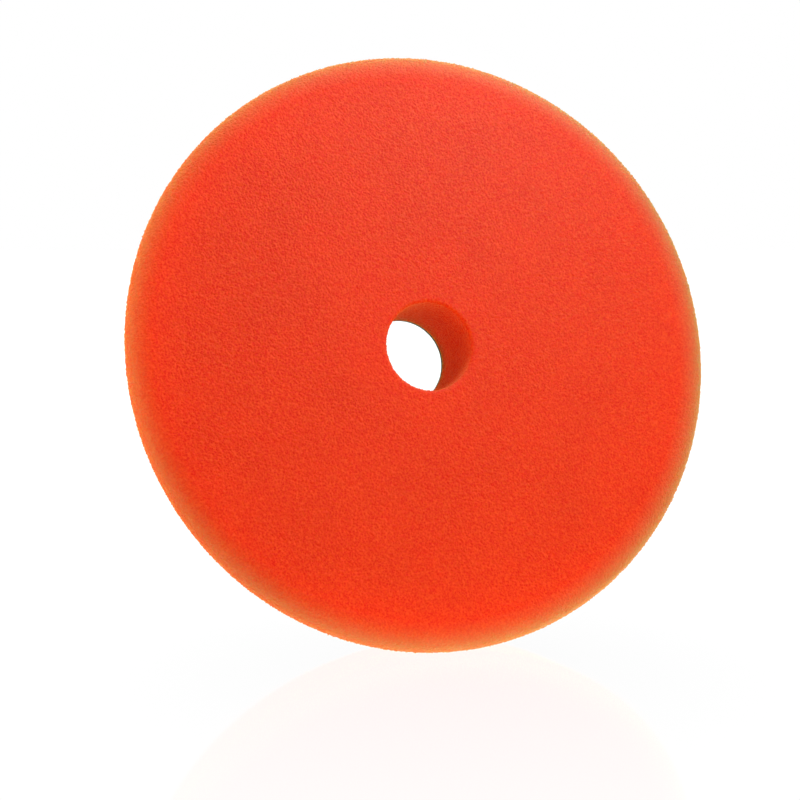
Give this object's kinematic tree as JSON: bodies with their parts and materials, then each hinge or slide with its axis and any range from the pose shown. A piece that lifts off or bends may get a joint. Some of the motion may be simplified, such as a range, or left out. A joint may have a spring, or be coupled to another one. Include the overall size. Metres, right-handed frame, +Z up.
{
  "type": "polishing pad",
  "caption": "Tapered foam polishing pad with a rounded working edge, a centring hole and a hook-and-loop backing cloth.",
  "frame": {"origin": "centre of the centring hole, in the plane of the loop face", "axes": "+Y along the pad's axis, out of the loop face towards the machine; the working face looks along -Y; +Z is up with the pad standing on its edge"},
  "size_m": [0.15, 0.025, 0.15],
  "materials": {
    "foam": "open-cell polyurethane foam, orange, matte",
    "hot_melt": "translucent hot-melt film, satin",
    "loop_fabric": "brushed nylon loop cloth, charcoal"
  },
  "bodies": {
    "root": {"foam_body": "foam", "adhesive_film": "hot_melt", "loop_cloth": "loop_fabric"}
  },
  "joints": []
}
